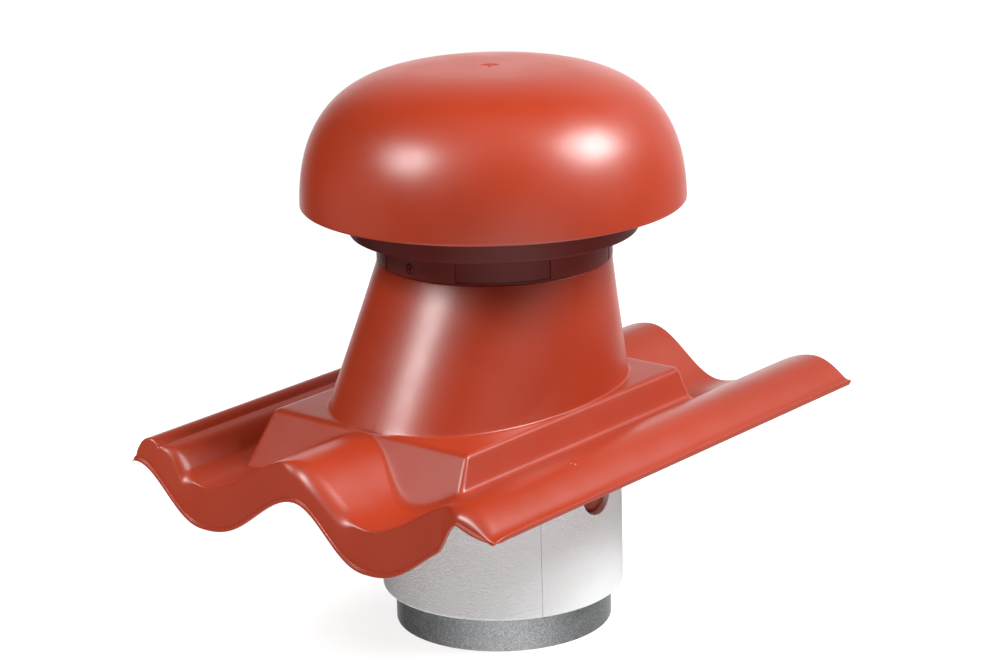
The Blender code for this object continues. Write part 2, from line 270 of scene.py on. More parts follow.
def cutter_rod(name, radius, near, far, level, angle):
    """A round cutter that points away from the axis."""
    shape = bmesh.new()
    place = (Matrix.Translation((axis_x, axis_y, level)) @ Matrix.Rotation(angle, 4, "Z")
             @ Matrix.Rotation(math.pi / 2, 4, "Y") @ Matrix.Translation((0, 0, (near + far) / 2)))
    bmesh.ops.create_cone(shape, cap_ends=True, segments=48, radius1=radius, radius2=radius,
                          depth=far - near, matrix=place)
    return object_from(name, shape)


def object_from(name, shape):
    mesh = bpy.data.meshes.new(name)
    shape.to_mesh(mesh)
    shape.free()
    made = bpy.data.objects.new(name, mesh)
    bpy.context.scene.collection.objects.link(made)
    return made


def cutter_sector(name, inner, outer, low, high, centre, angle, steps):
    """A cutter in the form of a piece of a ring round the axis."""
    shape = bmesh.new()
    corners = [shape.verts.new((radius, 0.0, height)) for radius, height in
               ((inner, low), (outer, low), (outer, high), (inner, high))]
    shape.faces.new(corners)
    bmesh.ops.rotate(shape, verts=shape.verts[:],
                     matrix=Matrix.Rotation(centre - angle / 2, 3, "Z"))
    bmesh.ops.spin(shape, geom=shape.verts[:] + shape.edges[:] + shape.faces[:],
                   axis=(0, 0, 1), cent=(0, 0, 0), angle=angle, steps=steps)
    bmesh.ops.translate(shape, verts=shape.verts[:], vec=(axis_x, axis_y, 0.0))
    bmesh.ops.recalc_face_normals(shape, faces=shape.faces)
    return object_from(name, shape)


# The moulded tile: its surface is where a smooth union of its forms ends

def wave(x, shift=0.0, power=1.0):
    """The share of the wave's height at x: one on a crest and nothing in a trough."""
    along = np.mod(x - first_crest - shift, wave_fall + wave_rise)
    falling = np.pi * along / wave_fall
    rising = np.pi * (1.0 + (along - wave_fall) / wave_rise)
    return (0.5 + 0.5 * np.cos(np.where(along < wave_fall, falling, rising))) ** power


def tile_section():
    """The sheet's upper surface across its width, as dense x and height."""
    start = left_edge + lock_width
    x = np.linspace(start, right_edge, 600)
    rise = wave_height * wave(x)
    near_lip = x > right_edge - lock_width
    blend = np.log(np.exp((rise - right_lip_rise) / right_lip_blend) + 1.0) * right_lip_blend
    rise = np.where(near_lip, right_lip_rise + blend, rise)
    points = [(left_edge + inward, height) for inward, height in lock_outline]
    points += list(zip(x[:13:6], rise[:13:6]))
    lock = smooth_path(points, 14)
    lock = lock[lock[:, 0] < x[0]]
    section_x = np.concatenate([lock[:, 0], x])
    section_z = trough_level + np.concatenate([lock[:, 1], rise])
    return section_x, section_z


section_x, section_z = tile_section()


def sheet_height(x):
    return np.interp(x, section_x, section_z)


def eased(value):
    share = np.clip(value, 0.0, 1.0)
    return share * share * (3.0 - 2.0 * share)


def round_union(a, b, radius):
    """Two distances joined with a fillet."""
    near = np.hypot(np.maximum(radius - a, 0.0), np.maximum(radius - b, 0.0))
    return np.maximum(radius, np.minimum(a, b)) - near


def round_overlap(a, b, radius):
    """The overlap of two distances, with its edge rounded."""
    return -round_union(-a, -b, radius)


def stack_distance(x, y, z, soft):
    share = np.clip((z - plinth_top) / (stack_top - plinth_top), 0.0, 1.0)
    side = stack_side + (stack_neck - stack_side) * share
    front = stack_front + (stack_neck - stack_front) * share
    back = stack_back + (stack_neck - stack_back) * share
    power = stack_base_power + (2.0 - stack_base_power) * share
    middle = axis_y + (back - front) / 2
    reach = (back + front) / 2
    across = np.abs((x - axis_x) / side)
    along = np.abs((y - middle) / reach)
    scaled = (across ** power + along ** power) ** (1.0 / power)
    from_middle = np.hypot(x - axis_x, y - middle)
    wall = from_middle * (1.0 - 1.0 / np.maximum(scaled, 0.05))
    lean = np.where(y < middle, (stack_front - stack_neck), (stack_back - stack_neck))
    lean = lean / (stack_top - plinth_top) * np.clip(np.abs(y - middle) / reach, 0, 1) ** 2
    wall = wall / np.hypot(1.0, lean)
    return round_overlap(wall, z - stack_top, stack_edge_radius + soft)


def drafted(out, reach, draft, down):
    """The distance from a plane that leans outwards as it goes down."""
    return (out - reach - draft * down) / math.hypot(1.0, draft)


def plinth_distance(x, y, z, soft):
    down = plinth_top - z
    sides = np.maximum(drafted(axis_x - x, plinth_left, plinth_left_draft, down),
                       drafted(x - axis_x, plinth_right, plinth_right_draft, down))
    ends = np.maximum(drafted(axis_y - y, plinth_front, plinth_front_draft, down),
                      drafted(y - axis_y, plinth_back, plinth_back_draft, down))
    corner = plinth_corner_radius + plinth_corner_growth * np.maximum(down, 0.0) + soft
    corner = corner + plinth_back_corner * eased((y - axis_y) / plinth_back)
    walls = round_overlap(sides, ends, corner)
    return round_overlap(walls, z - plinth_top, plinth_edge_radius + soft)


def sheet_distance(x, z):
    step = 0.0005
    slope = (sheet_height(x + step) - sheet_height(x - step)) / (2 * step)
    return (z - sheet_height(x)) / np.hypot(1.0, slope)


def tower_distance(x, y, z, soft):
    return round_union(stack_distance(x, y, z, soft), plinth_distance(x, y, z, soft),
                       stack_fillet)


def moulding_distance(x, y, z, soft):
    share = eased((x - axis_x) / plinth_right)
    fillet = plinth_foot_fillet + (plinth_right_fillet - plinth_foot_fillet) * share
    return round_union(tower_distance(x, y, z, soft), sheet_distance(x, z), fillet)


def crossing(distance, near, far, soft, turns=30):
    """The share of the way at which each ray from near to far leaves the form."""
    inside = np.zeros(near[0].shape)
    outside = np.ones(near[0].shape)
    for _ in range(turns):
        middle = (inside + outside) / 2
        point = [a + (b - a) * middle for a, b in zip(near, far)]
        free = distance(*point, soft) > 0
        outside = np.where(free, middle, outside)
        inside = np.where(free, inside, middle)
    return (inside + outside) / 2


tower_centre_level = 0.120
switch_level = plinth_top - 0.0016
ray_reach = 0.40


def tower_profiles(rim, rows, soft):
    """For each point of the window's rim, points from the stack's bore down to the rim."""
    along_x, along_y = rim[:, 0] - axis_x, rim[:, 1] - axis_y
    reach = np.hypot(along_x, along_y)
    out_x, out_y = along_x / reach, along_y / reach
    zeros = np.zeros(len(rim))

    def at(radius, level):
        return axis_x + out_x * radius, axis_y + out_y * radius, level

    level = zeros + switch_level
    share = crossing(tower_distance, at(zeros, level), at(reach, level), soft)
    switch = share * reach
    steepest = math.atan2(stack_top - tower_centre_level, stack_bore)
    lowest = np.arctan2(switch_level - tower_centre_level, switch)
    dense = []
    samples = 380
    for step in range(samples):
        turned = steepest + (lowest - steepest) * step / (samples - 1)
        far_r = ray_reach * np.cos(turned)
        far_z = tower_centre_level + ray_reach * np.sin(turned)
        share = crossing(tower_distance, at(zeros, zeros + tower_centre_level),
                         at(far_r, far_z), soft)
        dense.append((share * far_r, tower_centre_level
                      + share * ray_reach * np.sin(turned)))
    for step in range(1, samples + 1):
        radius = switch + (reach - switch) * step / samples
        low, high = zeros + trough_level - 0.02, zeros + plinth_top + 0.001
        share = crossing(moulding_distance, at(radius, low), at(radius, high), soft)
        dense.append((radius, low + (high - low) * share))
    radius = np.array([point[0] for point in dense])
    level = np.array([point[1] for point in dense])
    run, rise = np.diff(radius, axis=0), np.diff(level, axis=0)
    length = np.hypot(run, rise)
    heading = np.unwrap(np.arctan2(rise, run), axis=0)
    bend = np.abs(np.diff(heading, axis=0))
    bend = np.vstack([np.zeros((1, len(rim))), np.minimum(bend, 0.5)])
    measure = length / length.sum(0) + 1.1 * bend / bend.sum(0)
    measure = np.vstack([np.zeros((1, len(rim))), np.cumsum(measure, axis=0)])
    measure = measure / measure[-1]
    grid = np.linspace(0.0, 1.0, rows)
    made = np.zeros((rows, len(rim), 3))
    for place in range(len(rim)):
        r = np.interp(grid, measure[:, place], radius[:, place])
        z = np.interp(grid, measure[:, place], level[:, place])
        made[:, place, 0] = axis_x + out_x[place] * r
        made[:, place, 1] = axis_y + out_y[place] * r
        made[:, place, 2] = z
    made[-1] = rim
    return made


def skirt_edge(x, height):
    edge = trough_level - skirt_depth + skirt_wave_height * wave(x, skirt_shift, skirt_sharpness)
    roll_start = right_edge - roll_end_from_right
    along = np.clip((x - roll_start) / roll_end_from_right, 0.0, 1.0)
    fall = roll_end_fall * (1.0 - (1.0 - along) ** roll_end_power)
    roll_edge = trough_level + roll_end_rise - fall
    edge = edge + (roll_edge - edge) * eased((x - roll_start + roll_end_blend) / roll_end_blend)
    return np.minimum(edge, height - skirt_least_drop)


def nose_size(x):
    """The radius over the front edge: broad where the wave falls, crisp where it rises."""
    step, ahead = 0.0015, np.minimum(x + nose_lead, right_edge - 0.0060)
    slope = (sheet_height(ahead + step) - sheet_height(ahead - step)) / (2 * step)
    falling = np.maximum(eased((0.12 - slope) / 0.6),
                         eased((x - right_edge + roll_end_from_right + roll_end_blend)
                               / roll_end_blend))
    size = nose_crisp + (nose_broad - nose_crisp) * falling
    size = np.minimum(size, nose_lock + 0.6 * np.maximum(x - lock_crest_end, 0.0))
    return nose_lock + (size - nose_lock) * eased((x - lock_crest_end) / lock_crest_blend)


# The lip's profile, as shares of how far it stands out and of its height
lip_profile = ((0.04, 0.90), (0.14, 0.81), (0.32, 0.755), (0.60, 0.735), (0.84, 0.71),
               (0.95, 0.64), (1.0, 0.53), (1.0, 0.32), (1.0, 0.12), (0.94, 0.03), (0.82, 0.0))


def front_rows(x, height, soft):
    """Rows of points over the nose, down the skirt's face and out along its lip."""
    edge = skirt_edge(x, height)
    drop = height - edge
    lip = np.minimum(lip_height, 0.24 * drop)
    out = np.minimum(lip_out, 0.5 * drop)
    deep = nose_size(x) + soft
    tall = np.minimum(deep, nose_share * (drop - lip))
    foot_y = front_edge + out
    last = np.arctan2(deep, tall * math.tan(skirt_lean))
    fall = drop - tall * (1.0 - np.cos(last)) - lip
    centre_y = foot_y + fall * math.tan(skirt_lean) + deep * np.sin(last)
    rows = []
    arc_steps, face_steps = 14, 5
    for step in range(arc_steps + 1):
        turned = last * step / arc_steps
        rows.append((centre_y - deep * np.sin(turned), height - tall * (1.0 - np.cos(turned))))
    top_y, top_z = rows[-1]
    for step in range(1, face_steps + 1):
        share = step / face_steps
        rows.append((top_y + (foot_y - top_y) * share, top_z + (edge + lip - top_z) * share))
    for outward, upward in lip_profile:
        if soft:
            rows.append((foot_y - lip * (1.0 - upward) * math.tan(skirt_lean),
                         edge + lip * upward))
        else:
            rows.append((foot_y - out * outward, edge + lip * upward))
    return rows


def spaced(stops, steps):
    """Values from stop to stop, each span with its own step."""
    made = [np.array(stops[:1])]
    for start, end, step in zip(stops, stops[1:], steps):
        made.append(np.linspace(start, end, max(int(round(abs(end - start) / step)), 1) + 1)[1:])
    return np.concatenate(made)


def section_columns(stops, steps):
    """Values of x that follow the section's length from stop to stop."""
    length = np.concatenate([[0.0], np.cumsum(np.hypot(np.diff(section_x), np.diff(section_z)))])
    return np.interp(spaced(np.interp(stops, section_x, length), steps), length, section_x)


def edge_fall(inward):
    """How far a surface is below its level near an edge that is rounded."""
    gap = np.maximum(edge_round - inward, 0.0)
    return edge_round - np.sqrt(np.maximum(edge_round ** 2 - gap ** 2, 0.0))


window_margin = 0.0060
window_left = axis_x - plinth_left - plinth_left_draft * (plinth_top - trough_level) - window_margin
window_right = (axis_x + plinth_right + plinth_right_draft * (plinth_top - trough_level)
                + window_margin)
window_front = (axis_y - plinth_front - plinth_front_draft * (plinth_top - trough_level)
                - window_margin)
window_back = axis_y + plinth_back + plinth_back_draft * (plinth_top - trough_level) + window_margin


def tile_skin(soft):
    """Vertices and faces of the tile's upper surface. A soft one, for the skin inside it, has
    wider corners, plain edges and no lip."""
    corner, fine = 0.0110, 0.0007
    x = section_columns(
        (left_edge, left_edge + 0.0010, left_edge + 0.0330, window_left, window_left + corner,
         window_right - corner, window_right, right_edge - 0.0010, right_edge),
        (0.0001, 0.0006, 0.0018, fine, 0.0024, fine, 0.0021, 0.0001))
    first = int(np.argmin(np.abs(x - window_left)))
    last = int(np.argmin(np.abs(x - window_right)))
    height = sheet_height(x)
    front = front_rows(x, height, soft)
    back_rows = spaced((back_edge, back_edge - 0.0010, window_back), (0.0001, 0.0080))
    side_rows = spaced((window_back, window_back - corner, window_front + corner, window_front),
                       (0.0009, 0.0055, fine))
    fall = np.zeros_like(x) if soft else edge_fall(np.minimum(x - left_edge, right_edge - x))
    rows = [np.full(len(x), y) for y in list(back_rows) + list(side_rows[1:])]
    levels = [height - fall - (0.0 if soft else edge_fall(back_edge - row[0])) for row in rows]
    window_start, window_end = len(back_rows) - 1, len(back_rows) + len(side_rows) - 2
    approach = 4
    for step in range(1, approach):
        rows.append(window_front + (front[0][0] - window_front) * step / approach)
        levels.append(height - fall)
    rows += [y for y, _ in front]
    levels += [level - fall for _, level in front]
    verts = [(x[column], row[column], level[column])
             for row, level in zip(rows, levels) for column in range(len(x))]
    index = np.arange(len(verts)).reshape(len(rows), len(x))
    faces = []
    for row in range(len(rows) - 1):
        for column in range(len(x) - 1):
            if window_start <= row < window_end and first <= column < last:
                continue
            faces.append((index[row, column], index[row + 1, column],
                          index[row + 1, column + 1], index[row, column + 1]))
    rim = [index[window_start, column] for column in range(first, last)]
    rim += [index[row, last] for row in range(window_start, window_end)]
    rim += [index[window_end, column] for column in range(last, first, -1)]
    rim += [index[row, first] for row in range(window_end, window_start, -1)]
    grid = []
    for row in tower_profiles(np.array([verts[place] for place in rim]), 58, soft)[:-1]:
        grid.append(list(range(len(verts), len(verts) + len(rim))))
        verts.extend(tuple(point) for point in row)
    grid.append(rim)
    count = len(rim)
    for upper, lower in zip(grid, grid[1:]):
        for place in range(count):
            after = (place + 1) % count
            faces.append((upper[place], upper[after], lower[after], lower[place]))
    faces = np.array(faces)
    used, faces = np.unique(faces, return_inverse=True)
    return np.array(verts)[used], faces.reshape(-1, 4)


def moulded_mark(first):
    """A small ring with a nub in it, which the moulding tool leaves on the right roll."""
    profile = ((0.0, 0.0005), (0.0005, 0.0004), (0.0009, 0.0), (0.0019, 0.0), (0.0023, 0.0003),
               (0.0027, 0.0003), (0.0031, -0.0003))
    steps = 32
    verts = []
    for radius, rise in profile:
        for step in range(steps):
            turned = 2 * math.pi * step / steps
            x = mark_x + radius * math.cos(turned)
            verts.append((x, mark_y + radius * math.sin(turned), float(sheet_height(x)) + rise))
    faces = []
    for ring in range(len(profile) - 1):
        for step in range(steps):
            after = (step + 1) % steps
            here, there = first + ring * steps, first + (ring + 1) * steps
            faces.append([here + step, there + step, there + after, here + after])
    return verts, faces


def make_tile_base():
    """The tile, plinth and stack as one skin, and a second skin inside it."""
    verts, faces = tile_skin(0.0)
    base, _ = tile_skin(moulding_wall + 0.0002)
    a, b, c, d = (base[faces[:, place]] for place in range(4))
    normal = np.cross(c - a, d - b)
    normal /= np.maximum(np.linalg.norm(normal, axis=1), 1e-12)[:, None]
    if normal[:, 2].sum() < 0:
        faces = faces[:, ::-1]
        normal = -normal
    turned = np.zeros_like(base)
    for place in range(4):
        np.add.at(turned, faces[:, place], normal)
    turned /= np.maximum(np.linalg.norm(turned, axis=1), 1e-9)[:, None]
    inward = np.minimum(base[:, 0] - left_edge, (base[:, 1] - front_edge) * 0.6)
    thin = np.interp(inward, (0.0, 0.0060), (thin_wall, moulding_wall))
    thick = np.interp(right_edge - base[:, 0], (right_wall_width, 2 * right_wall_width),
                      (right_wall - moulding_wall, 0.0))
    thin = thin + thick * np.clip((base[:, 1] - front_edge) / 0.0060, 0.0, 1.0)
    inner = base - turned * thin[:, None]
    inner[:, 0] = np.clip(inner[:, 0], left_edge, right_edge - right_undercut)
    inner[:, 1] = np.clip(inner[:, 1], front_edge, back_edge)
    count = len(verts)
    seen = {(face[place], face[(place + 1) % 4]) for face in faces for place in range(4)}
    rims = [(one, two, two + count, one + count) for one, two in sorted(seen)
            if (two, one) not in seen]
    everything = [tuple(face) for face in faces]
    everything += [tuple(corner + count for corner in face[::-1]) for face in faces]
    everything += [rim[::-1] for rim in rims]
    everything = [[int(corner) for corner in face] for face in everything]
    mark_verts, mark_faces = moulded_mark(2 * count)
    return mesh_piece("tile_shell", np.vstack([verts, inner, mark_verts]),
                      everything + mark_faces, math.radians(50.0))


# The cap

def dome_radius(level, inset):
    height = cap_top - dome_base_level - inset
    rise = min(max((level - dome_base_level) / height, 0.0), 1.0)
    return (cap_radius - inset) * (1.0 - rise ** dome_rise_power) ** (1.0 / dome_side_power)


def dome_profile(inset, steps):
    """The dome's profile from its top to its rim, moved in by an inset."""
    height = cap_top - dome_base_level - inset
    end = math.asin(min((cap_rim_level - dome_base_level) / height, 1.0))
    points = []
    for step in range(steps + 1):
        turned = math.pi / 2 + (end - math.pi / 2) * (step / steps) ** 1.25
        level = dome_base_level + height * math.sin(turned)
        points.append((dome_radius(level, inset) if step else 0.0, level))
    return points


def gate_dip(radius):
    """How far the top is sunk round the moulding gate, with a nub and a pit in its middle."""
    if radius > gate_radius:
        return 0.0
    share = radius / gate_radius
    dip = gate_depth * (1.0 - share ** 6)
    nub = 0.0011
    pit = 0.0006
    dip -= 0.0005 * max(1.0 - (radius / nub) ** 4, 0.0)
    dip += 0.0009 * max(1.0 - (radius / pit) ** 2, 0.0)
    return dip


def make_cap():
    """The hollow dome on its four posts."""
    outer = dome_profile(0.0, 90)
    fine = [radius for radius in (0.0, 0.0003, 0.0006, 0.0009, 0.0012, 0.0025, 0.0045, 0.0058,
                                  0.0064, 0.0070, 0.0075)]
    radii = np.array([point[0] for point in outer])
    levels = np.array([point[1] for point in outer])
    top = [(radius, float(np.interp(radius, radii, levels)) - gate_dip(radius)) for radius in fine]
    outer = top + [point for point in outer if point[0] > fine[-1] + 0.001]
    inner = dome_profile(moulding_wall, 40)
    rim_out, rim_in = outer[-1][0], inner[-1][0]
    rim = [(rim_out - 0.0004, cap_rim_level - 0.0), (rim_in + 0.0004, cap_rim_level)]
    outer[-1] = (rim_out, cap_rim_level + 0.0005)
    inner[-1] = (rim_in, cap_rim_level + 0.0005)
    verts, faces = revolved(outer + rim + inner[::-1], 192)
    dome = mesh_piece("cap_dome", verts, faces, math.radians(50.0))
    outside = dish_radius - moulding_wall - post_inset
    pieces = []
    foot = dish_floor + seat_gap
    for place in range(post_count):
        angle = 2 * math.pi * (place + 0.5) / post_count
        pieces.append(make_post(f"cap_post_{place + 1}", angle, outside, foot))
    return dome, pieces


def make_post(name, angle, outside, foot):
    """A flat post under the dome, with rounded edges."""
    outline = rounded([(outside, -post_thickness / 2), (outside, post_thickness / 2),
                       (outside - post_width, post_thickness / 2),
                       (outside - post_width, -post_thickness / 2)], 0.0009, 3)
    turn = Matrix.Rotation(angle, 3, "Z")
    verts, faces = [], []
    count = len(outline)
    shape = [turn @ Vector((px, py, 0.0)) for px, py in outline]
    for point in shape:
        verts.append((axis_x + point.x, axis_y + point.y, foot))
    for point in shape:
        reach = math.hypot(point.x, point.y)
        low, high = dome_base_level, cap_top - moulding_wall
        for _ in range(30):
            middle = (low + high) / 2
            if dome_radius(middle, moulding_wall) > reach:
                low = middle
            else:
                high = middle
        verts.append((axis_x + point.x, axis_y + point.y, low + 0.0004))
    for place in range(count):
        after = (place + 1) % count
        faces.append((place, after, after + count, place + count))
    faces.append(tuple(range(count))[::-1])
    faces.append(tuple(range(count, 2 * count)))
    return mesh_piece(name, verts, faces)


# The collar

def make_collar():
    """The band with its dish, panels, slots and rivet holes."""
    inner = band_radius - moulding_wall
    corners = [(dish_radius, dish_top, 0.0006), (dish_radius, band_top, 0.0015),
               (band_radius, band_top, 0.0006), (band_radius, band_bottom, 0.0004),
               (inner, band_bottom, 0.0004), (inner, dish_floor, 0.0006),
               (dish_radius - moulding_wall, dish_floor, 0.0010),
               (dish_radius - moulding_wall, dish_top, 0.0006)]
    verts, faces = revolved(rounded(corners, 0.0005), 224)
    collar = mesh_piece("collar_body", verts, faces, math.radians(45.0))
    past = 0.002
    for side, turned in enumerate((0.0, math.pi)):
        cut(collar, cutter_sector(f"panel_{side}", band_radius - panel_recess, band_radius + past,
                                  band_bottom + panel_rim, band_top - panel_rim,
                                  panel_centre + turned, panel_angle, 36))
        for edge in (-1, 1):
            cut(collar, cutter_sector(f"slot_{side}_{edge}", band_radius - slot_depth,
                                      band_radius + past, band_bottom - past,
                                      band_top - panel_rim, panel_centre + turned
                                      + edge * slot_angle, slot_width / band_radius, 2))
        cut(collar, cutter_rod(f"rivet_hole_{side}", rivet_radius + seat_gap,
                               band_radius - rivet_hole_depth, band_radius + past,
                               rivet_level, rivet_angle + turned))
    return apply_modifiers(collar, math.radians(45.0))


def along_axis(points, steps, near, level, angle, side=0.0):
    """A profile turned round a line that points away from the duct's axis."""
    verts, faces = [], []
    count = len(points)
    out = Vector((math.cos(angle), math.sin(angle), 0.0))
    across = Vector((-math.sin(angle), math.cos(angle), 0.0))
    start = Vector((axis_x, axis_y, level)) + out * near + across * side
    for step in range(steps):
        turned = 2 * math.pi * step / steps
        spoke = across * math.cos(turned) + Vector((0, 0, math.sin(turned)))
        for radius, height in points:
            verts.append(tuple(start + spoke * radius + out * height))
    for step in range(steps):
        here, after = step * count, (step + 1) % steps * count
        for place in range(count):
            follow = (place + 1) % count
            faces.append((here + place, after + place, after + follow, here + follow))
    return verts, faces


def make_rivet(name, angle):
    """A domed rivet with a small eye in its middle."""
    depth = rivet_hole_depth - seat_gap
    points = [(0.0, depth - 0.0011), (0.0009, depth - 0.0011), (0.0012, depth - 0.0004),
              (0.0016, depth + 0.0003), (0.0023, depth + 0.0002), (0.0030, depth - 0.0001),
              (0.0034, depth - 0.0003), (rivet_radius, depth - 0.0006), (rivet_radius, 0.0),
              (0.0, 0.0)]
    verts, faces = along_axis(points, 40, band_radius - rivet_hole_depth + seat_gap,
                              rivet_level, angle)
    return mesh_piece(name, verts, faces, math.radians(60.0))


# The sleeve, its plug and the duct

def make_half_sleeve(name, start, hole):
    """Half a foam tube, with soft edges and an uneven skin."""
    seam = seat_gap / sleeve_radius
    begin, angle = start + seam / 2, math.pi - seam
    edge = 0.0010
    outline = rounded([(sleeve_radius, sleeve_foot, 0.0012), (sleeve_radius, sleeve_top, edge),
                       (sleeve_bore, sleeve_top, edge), (sleeve_bore, sleeve_foot, edge)], edge, 3)
    outline = refine(outline, 0.0016)
    steps = 150
    verts, faces = [], []
    count = len(outline)
    for step in range(steps + 1):
        turned = begin + angle * step / steps
        for radius, height in outline:
            verts.append((axis_x + radius * math.cos(turned),
                          axis_y + radius * math.sin(turned), height))
    for step in range(steps):
        here, after = step * count, (step + 1) * count
        for place in range(count):
            follow = (place + 1) % count
            faces.append((here + place, here + follow, after + follow, after + place))
    faces.append(tuple(range(count)))
    faces.append(tuple(range(steps * count, (steps + 1) * count))[::-1])
    half = mesh_piece(name, verts, faces, math.radians(50.0))
    if hole:
        cut(half, cutter_rod("plug_hole", plug_hole_radius, sleeve_bore - 0.002,
                             sleeve_radius + 0.002, plug_hole_level, plug_angle))
        apply_modifiers(half, math.radians(50.0))
    for vertex in half.data.vertices:
        out = Vector((vertex.co.x - axis_x, vertex.co.y - axis_y, 0.0))
        if out.length > sleeve_radius - 0.0002:
            place = vertex.co * 260.0
            place.z *= 1.7
            dent = noise.noise(place) * 0.6 + noise.noise(place * 2.3) * 0.4
            vertex.co -= out.normalized() * 0.00012 * (dent + 0.8)
    return half


def refine(outline, step):
    """A closed outline with points no further apart than a step."""
    points = []
    for start, end in zip(outline, outline[1:] + outline[:1]):
        length = math.dist(start, end)
        parts = max(int(math.ceil(length / step)), 1)
        for part in range(parts):
            share = part / parts
            points.append((start[0] + (end[0] - start[0]) * share,
                           start[1] + (end[1] - start[1]) * share))
    return points


def make_plug():
    """The red plug with its domed face, in the bottom of the hole."""
    side, rise = 0.0030, 0.0030
    points = [(plug_radius * math.sin(step * math.pi / 32),
               side + rise * math.cos(step * math.pi / 32)) for step in range(17)]
    points += [(plug_radius, 0.0), (0.0, 0.0)]
    level = plug_hole_level - plug_hole_radius + plug_radius + 2 * seat_gap
    verts, faces = along_axis(points, 64, sleeve_bore, level, plug_angle, 0.0010)
    return mesh_piece("plug", verts, faces, math.radians(50.0))


def make_duct():
    """The thin steel tube, with its cut edges softened."""
    wall = 0.0010
    top = duct_high.z
    outline = rounded([(duct_radius, duct_low.z), (duct_radius, top), (duct_radius - wall, top),
                       (duct_radius - wall, duct_low.z)], 0.0003, 2)
    verts, faces = revolved(outline, 192)
    return mesh_piece("duct_tube", verts, faces)


# Materials

def new_material(name):
    made = bpy.data.materials.new(name)
    made.use_nodes = True
    nodes, links = made.node_tree.nodes, made.node_tree.links
    return made, nodes, links, nodes["Principled BSDF"]


def object_place(nodes, links, scale=(1.0, 1.0, 1.0)):
    where = nodes.new("ShaderNodeTexCoord")
    mapping = nodes.new("ShaderNodeMapping")
    mapping.inputs["Scale"].default_value = scale
    links.new(where.outputs["Object"], mapping.inputs["Vector"])
    return mapping.outputs["Vector"]


def noise_value(nodes, links, place, scale, detail=4.0, rough=0.5, distortion=0.0):
    made = nodes.new("ShaderNodeTexNoise")
    made.inputs["Scale"].default_value = scale
    made.inputs["Detail"].default_value = detail
    made.inputs["Roughness"].default_value = rough
    made.inputs["Distortion"].default_value = distortion
    links.new(place, made.inputs["Vector"])
    return made.outputs["Fac"]


def ranged(nodes, links, value, low, high, start=0.0, end=1.0):
    made = nodes.new("ShaderNodeMapRange")
    made.inputs["From Min"].default_value = start
    made.inputs["From Max"].default_value = end
    made.inputs["To Min"].default_value = low
    made.inputs["To Max"].default_value = high
    links.new(value, made.inputs["Value"])
    return made.outputs["Result"]


def blended(nodes, links, value, first, second):
    made = nodes.new("ShaderNodeMix")
    made.data_type = "RGBA"
    made.inputs["A"].default_value = (*first, 1.0)
    made.inputs["B"].default_value = (*second, 1.0)
    links.new(value, made.inputs["Factor"])
    return made.outputs["Result"]


def bumped(nodes, links, shader, value, strength, distance):
    made = nodes.new("ShaderNodeBump")
    made.inputs["Strength"].default_value = strength
    made.inputs["Distance"].default_value = distance
    links.new(value, made.inputs["Height"])
    links.new(made.outputs["Normal"], shader.inputs["Normal"])
    return made


def plastic_material(name, dark, light, rough_low, rough_high, peel, index):
    """Moulded plastic: faint cloudy colour, uneven gloss and an orange-peel skin."""
    made, nodes, links, shader = new_material(name)
    place = object_place(nodes, links)
    clouds = noise_value(nodes, links, place, 9.0, 3.0)
    links.new(blended(nodes, links, ranged(nodes, links, clouds, 0.0, 1.0, 0.3, 0.7), dark, light),
              shader.inputs["Base Color"])
    haze = noise_value(nodes, links, place, 35.0, 5.0, 0.6)
    links.new(ranged(nodes, links, haze, rough_low, rough_high, 0.3, 0.7),
              shader.inputs["Roughness"])
    skin = noise_value(nodes, links, place, 1100.0, 3.0, 0.55)
    bumped(nodes, links, shader, skin, peel, 0.0002)
    shader.inputs["IOR"].default_value = index
    return made


def foam_material():
    """Expanded foam: white, with fine cracks between its beads and a faint stain."""
    made, nodes, links, shader = new_material("white_foam_look")
    place = object_place(nodes, links, (1.0, 1.0, 1.9))
    stain = noise_value(nodes, links, place, 7.0, 3.0)
    links.new(blended(nodes, links, ranged(nodes, links, stain, 0.0, 1.0, 0.5, 0.75),
                      (0.880, 0.900, 0.906), (0.84, 0.832, 0.808)), shader.inputs["Base Color"])
    warp = nodes.new("ShaderNodeTexNoise")
    warp.inputs["Scale"].default_value = 110.0
    warp.inputs["Detail"].default_value = 3.0
    links.new(place, warp.inputs["Vector"])
    mixed = nodes.new("ShaderNodeMix")
    mixed.data_type = "VECTOR"
    mixed.inputs["Factor"].default_value = 0.016
    links.new(place, mixed.inputs["A"])
    links.new(warp.outputs["Color"], mixed.inputs["B"])
    cracks = nodes.new("ShaderNodeTexVoronoi")
    cracks.feature = "DISTANCE_TO_EDGE"
    cracks.inputs["Scale"].default_value = 230.0
    links.new(mixed.outputs["Result"], cracks.inputs["Vector"])
    fine = noise_value(nodes, links, place, 380.0, 4.0, 0.6, 0.8)
    joined = nodes.new("ShaderNodeMath")
    joined.operation = "ADD"
    links.new(ranged(nodes, links, cracks.outputs["Distance"], 0.0, 0.35, 0.0, 0.10),
              joined.inputs[0])
    links.new(fine, joined.inputs[1])
    bumped(nodes, links, shader, joined.outputs["Value"], 0.65, 0.0008)
    shader.inputs["Roughness"].default_value = 0.85
    shader.inputs["Specular IOR Level"].default_value = 0.25
    return made


